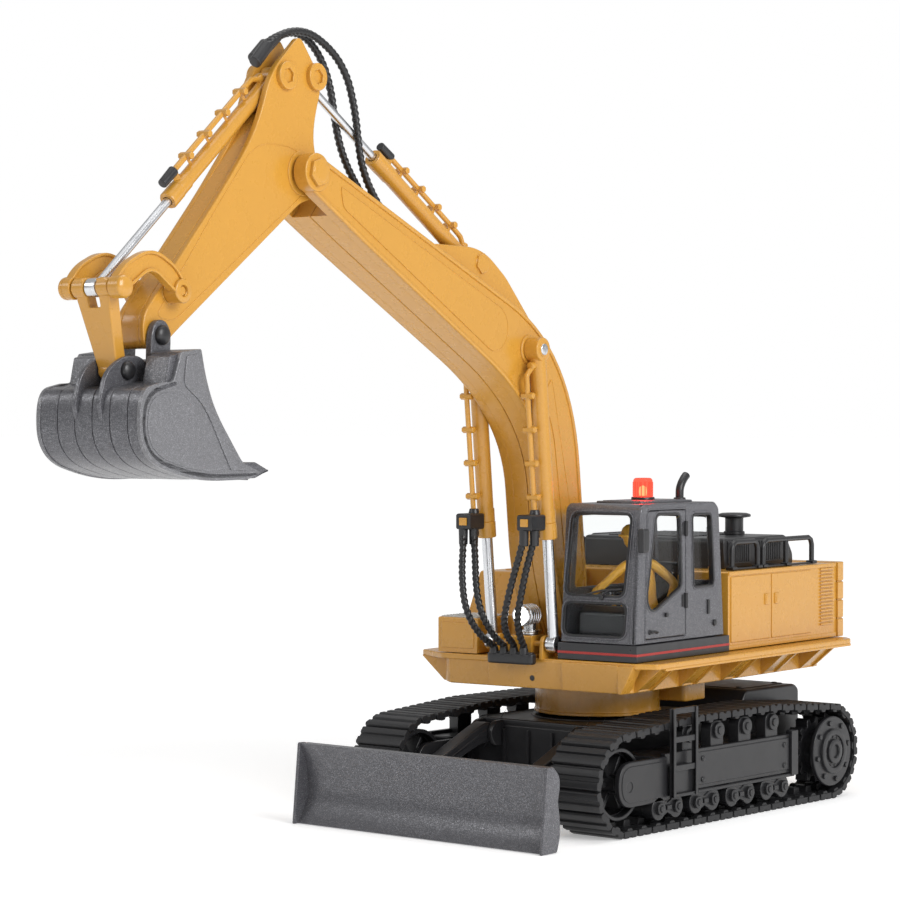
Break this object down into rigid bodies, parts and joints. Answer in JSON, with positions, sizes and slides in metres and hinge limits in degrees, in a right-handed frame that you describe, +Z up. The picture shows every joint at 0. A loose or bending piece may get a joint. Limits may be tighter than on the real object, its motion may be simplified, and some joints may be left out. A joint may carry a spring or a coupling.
{
  "type": "toy excavator",
  "caption": "Tracked toy digger with a slewing upper body, cab, jointed arm with hydraulic cylinders, bucket and front blade.",
  "frame": {"origin": "centre of the bounding box in plan, on the ground plane under the tracks", "axes": "+Z up, -Y the way the undercarriage faces (blade end), +X the left side of the machine"},
  "size_m": [0.1716, 0.5576, 0.3869],
  "materials": {
    "yellow_plastic": "glossy ochre yellow moulded plastic",
    "black_plastic": "satin black moulded plastic",
    "grey_speckled": "dark grey moulded plastic with a fine metallic speckle",
    "band_black": "satin near-black band round the cab foot",
    "chrome": "bright plated rods",
    "steel": "plain steel motor cans and shafts",
    "silver_plastic": "silver plated plastic lamp housing",
    "clear_plastic": "clear polycarbonate window sheet",
    "red_lens": "red see-through lens",
    "track_rubber": "black flexible track",
    "hose_rubber": "black hose with a twisted surface",
    "board_green": "green circuit board",
    "battery_blue": "shrink-wrapped battery pack",
    "figure_yellow": "one-colour moulded figure"
  },
  "bodies": {
    "undercarriage": {"chassis_frame": "black_plastic", "rear_housing": "black_plastic", "base_cover": "black_plastic", "battery_pack": "battery_blue", "slew_gear": "black_plastic", "drive_motor_left": "steel", "drive_motor_right": "steel", "track_frame_left": "black_plastic", "track_frame_right": "black_plastic", "track_belt_left": "track_rubber", "track_belt_right": "track_rubber"},
    "upper_structure": {"turntable": "yellow_plastic", "slew_motor": "steel", "platform": "yellow_plastic", "body_housing": "yellow_plastic", "counterweight": "yellow_plastic", "right_housing": "yellow_plastic", "engine_cover": "black_plastic", "exhaust_stack": "black_plastic", "control_board": "board_green", "cab_base": "band_black", "cab_shell": "grey_speckled", "windscreen": "clear_plastic", "side_window": "clear_plastic", "driver_seat": "black_plastic", "driver_figure": "figure_yellow", "beacon": "red_lens", "roof_pipe": "black_plastic", "work_lamp": "silver_plastic", "hose_grommet": "hose_rubber", "boom_foot_pin": "yellow_plastic", "hose_left_outer": "hose_rubber", "hose_left_inner": "hose_rubber", "hose_right_outer": "hose_rubber", "hose_right_inner": "hose_rubber"},
    "slew_pinion": {"slew_pinion": "steel"},
    "dozer_blade": {"blade": "grey_speckled", "blade_arms": "black_plastic"},
    "sprocket_left": {"sprocket_left": "black_plastic"},
    "sprocket_right": {"sprocket_right": "black_plastic"},
    "idler_left": {"idler_left": "black_plastic"},
    "idler_right": {"idler_right": "black_plastic"},
    "cab_door": {"cab_door": "grey_speckled", "door_window": "clear_plastic"},
    "boom": {"boom_half_left": "yellow_plastic", "boom_half_right": "yellow_plastic", "stick_pin": "yellow_plastic", "boom_cylinder_pin": "steel"},
    "stick": {"stick": "yellow_plastic"},
    "bucket": {"bucket": "grey_speckled"},
    "rocker_links": {"rocker_links": "yellow_plastic"},
    "h_link": {"h_link": "yellow_plastic"},
    "bucket_cylinder_barrel": {"bucket_cylinder_barrel": "yellow_plastic"},
    "bucket_cylinder_rod": {"bucket_cylinder_rod": "chrome"},
    "arm_cylinder_barrel": {"arm_cylinder_barrel": "yellow_plastic"},
    "arm_cylinder_rod": {"arm_cylinder_rod": "chrome"},
    "boom_cylinder_barrel_left": {"boom_cylinder_barrel_left": "yellow_plastic"},
    "boom_cylinder_rod_left": {"boom_cylinder_rod_left": "chrome"},
    "boom_cylinder_barrel_right": {"boom_cylinder_barrel_right": "yellow_plastic"},
    "boom_cylinder_rod_right": {"boom_cylinder_rod_right": "chrome"}
  },
  "joints": [
    {"name": "slew_turn", "type": "hinge", "parent": "undercarriage", "child": "upper_structure", "pos_m": [0.00128, 0.1136, 0.06], "axis": [0, 0, 1], "continuous": true},
    {"name": "slew_pinion_spin", "type": "hinge", "parent": "upper_structure", "child": "slew_pinion", "pos_m": [0.01768, 0.13247, 0.053], "axis": [0, 0, 1], "continuous": true},
    {"name": "blade_lift", "type": "hinge", "parent": "undercarriage", "child": "dozer_blade", "pos_m": [0.00128, 0.0576, 0.0435], "axis": [-1, 0, 0], "range_deg": [0, 14]},
    {"name": "sprocket_spin_left", "type": "hinge", "parent": "undercarriage", "child": "sprocket_left", "pos_m": [0.08128, 0.2216, 0.0265], "axis": [1, 0, 0], "continuous": true},
    {"name": "sprocket_spin_right", "type": "hinge", "parent": "undercarriage", "child": "sprocket_right", "pos_m": [-0.07872, 0.2216, 0.0265], "axis": [1, 0, 0], "continuous": true},
    {"name": "idler_spin_left", "type": "hinge", "parent": "undercarriage", "child": "idler_left", "pos_m": [0.06728, 0.0316, 0.0265], "axis": [1, 0, 0], "continuous": true},
    {"name": "idler_spin_right", "type": "hinge", "parent": "undercarriage", "child": "idler_right", "pos_m": [-0.06472, 0.0316, 0.0265], "axis": [1, 0, 0], "continuous": true},
    {"name": "cab_door_hinge", "type": "hinge", "parent": "upper_structure", "child": "cab_door", "pos_m": [0.06871, 0.10128, 0.134], "axis": [0, 0, 1], "range_deg": [0, 80]},
    {"name": "boom_lift", "type": "hinge", "parent": "upper_structure", "child": "boom", "pos_m": [-0.00133, 0.07934, 0.103], "axis": [-0.9976, -0.0698, 0], "range_deg": [-14, 8], "deforming": ["hose_left_outer", "hose_left_inner", "hose_right_outer", "hose_right_inner"]},
    {"name": "stick_swing", "type": "hinge", "parent": "boom", "child": "stick", "pos_m": [0.01422, -0.14312, 0.3239], "axis": [-0.9976, -0.0698, 0], "range_deg": [-15, 15]},
    {"name": "bucket_curl", "type": "hinge", "parent": "stick", "child": "bucket", "pos_m": [0.02128, -0.24407, 0.2459], "axis": [0.9976, 0.0698, 0], "range_deg": [-25, 30]},
    {"name": "rocker_turn", "type": "hinge", "parent": "stick", "child": "rocker_links", "pos_m": [0.02056, -0.2337, 0.2654], "axis": [-0.9976, -0.0698, 0], "range_deg": [-18.17, 15.3]},
    {"name": "h_link_turn", "type": "hinge", "parent": "bucket", "child": "h_link", "pos_m": [0.02254, -0.26203, 0.2303], "axis": [-0.9976, -0.0698, 0], "range_deg": [-14.67, 17.4]},
    {"name": "bucket_cylinder_tilt", "type": "hinge", "parent": "stick", "child": "bucket_cylinder_barrel", "pos_m": [0.01507, -0.15519, 0.368], "axis": [-0.9976, -0.0698, 0], "range_deg": [-4.26, 3.72]},
    {"name": "bucket_cylinder_stroke", "type": "slide", "parent": "bucket_cylinder_barrel", "child": "bucket_cylinder_rod", "axis": [0.0527, -0.7532, -0.6557], "range_m": [-0.00727, 0.00852]},
    {"name": "arm_cylinder_tilt", "type": "hinge", "parent": "boom", "child": "arm_cylinder_barrel", "pos_m": [0.00421, 0.00003, 0.289], "axis": [-0.9976, -0.0698, 0], "range_deg": [-2.47, 2.47]},
    {"name": "arm_cylinder_stroke", "type": "slide", "parent": "arm_cylinder_barrel", "child": "arm_cylinder_rod", "axis": [0.0598, -0.8547, 0.5157], "range_m": [-0.01246, 0.01246]},
    {"name": "boom_cylinder_tilt_left", "type": "hinge", "parent": "boom", "child": "boom_cylinder_barrel_left", "pos_m": [0.02109, 0.0353, 0.246], "axis": [-0.9976, -0.0698, 0], "range_deg": [-1.22, 1.38]},
    {"name": "boom_cylinder_stroke_left", "type": "slide", "parent": "boom_cylinder_barrel_left", "child": "boom_cylinder_rod_left", "axis": [-0.007, 0.1005, -0.9949], "range_m": [-0.00859, 0.00534]},
    {"name": "boom_cylinder_tilt_right", "type": "hinge", "parent": "boom", "child": "boom_cylinder_barrel_right", "pos_m": [-0.01741, 0.0326, 0.246], "axis": [-0.9976, -0.0698, 0], "range_deg": [-1.22, 1.38]},
    {"name": "boom_cylinder_stroke_right", "type": "slide", "parent": "boom_cylinder_barrel_right", "child": "boom_cylinder_rod_right", "axis": [-0.007, 0.1005, -0.9949], "range_m": [-0.00859, 0.00534]}
  ],
  "couplings": [
    {"joint": "slew_pinion_spin", "follows": "slew_turn", "ratio": 4},
    {"joint": "idler_spin_left", "follows": "sprocket_spin_left", "ratio": 1},
    {"joint": "idler_spin_right", "follows": "sprocket_spin_right", "ratio": 1},
    {"joint": "rocker_turn", "follows": "bucket_curl", "ratio": -0.5722},
    {"joint": "h_link_turn", "follows": "bucket_curl", "ratio": 0.5467},
    {"joint": "bucket_cylinder_tilt", "follows": "bucket_curl", "ratio": -0.1087},
    {"joint": "bucket_cylinder_stroke", "follows": "bucket_curl", "m_per_rad": 0.014367},
    {"joint": "arm_cylinder_tilt", "follows": "stick_swing", "ratio": 0.0979},
    {"joint": "arm_cylinder_stroke", "follows": "stick_swing", "m_per_rad": -0.043793},
    {"joint": "boom_cylinder_tilt_left", "follows": "boom_lift", "ratio": -0.0272},
    {"joint": "boom_cylinder_stroke_left", "follows": "boom_lift", "m_per_rad": 0.031079},
    {"joint": "boom_cylinder_tilt_right", "follows": "boom_lift", "ratio": -0.0272},
    {"joint": "boom_cylinder_stroke_right", "follows": "boom_lift", "m_per_rad": 0.031079}
  ]
}
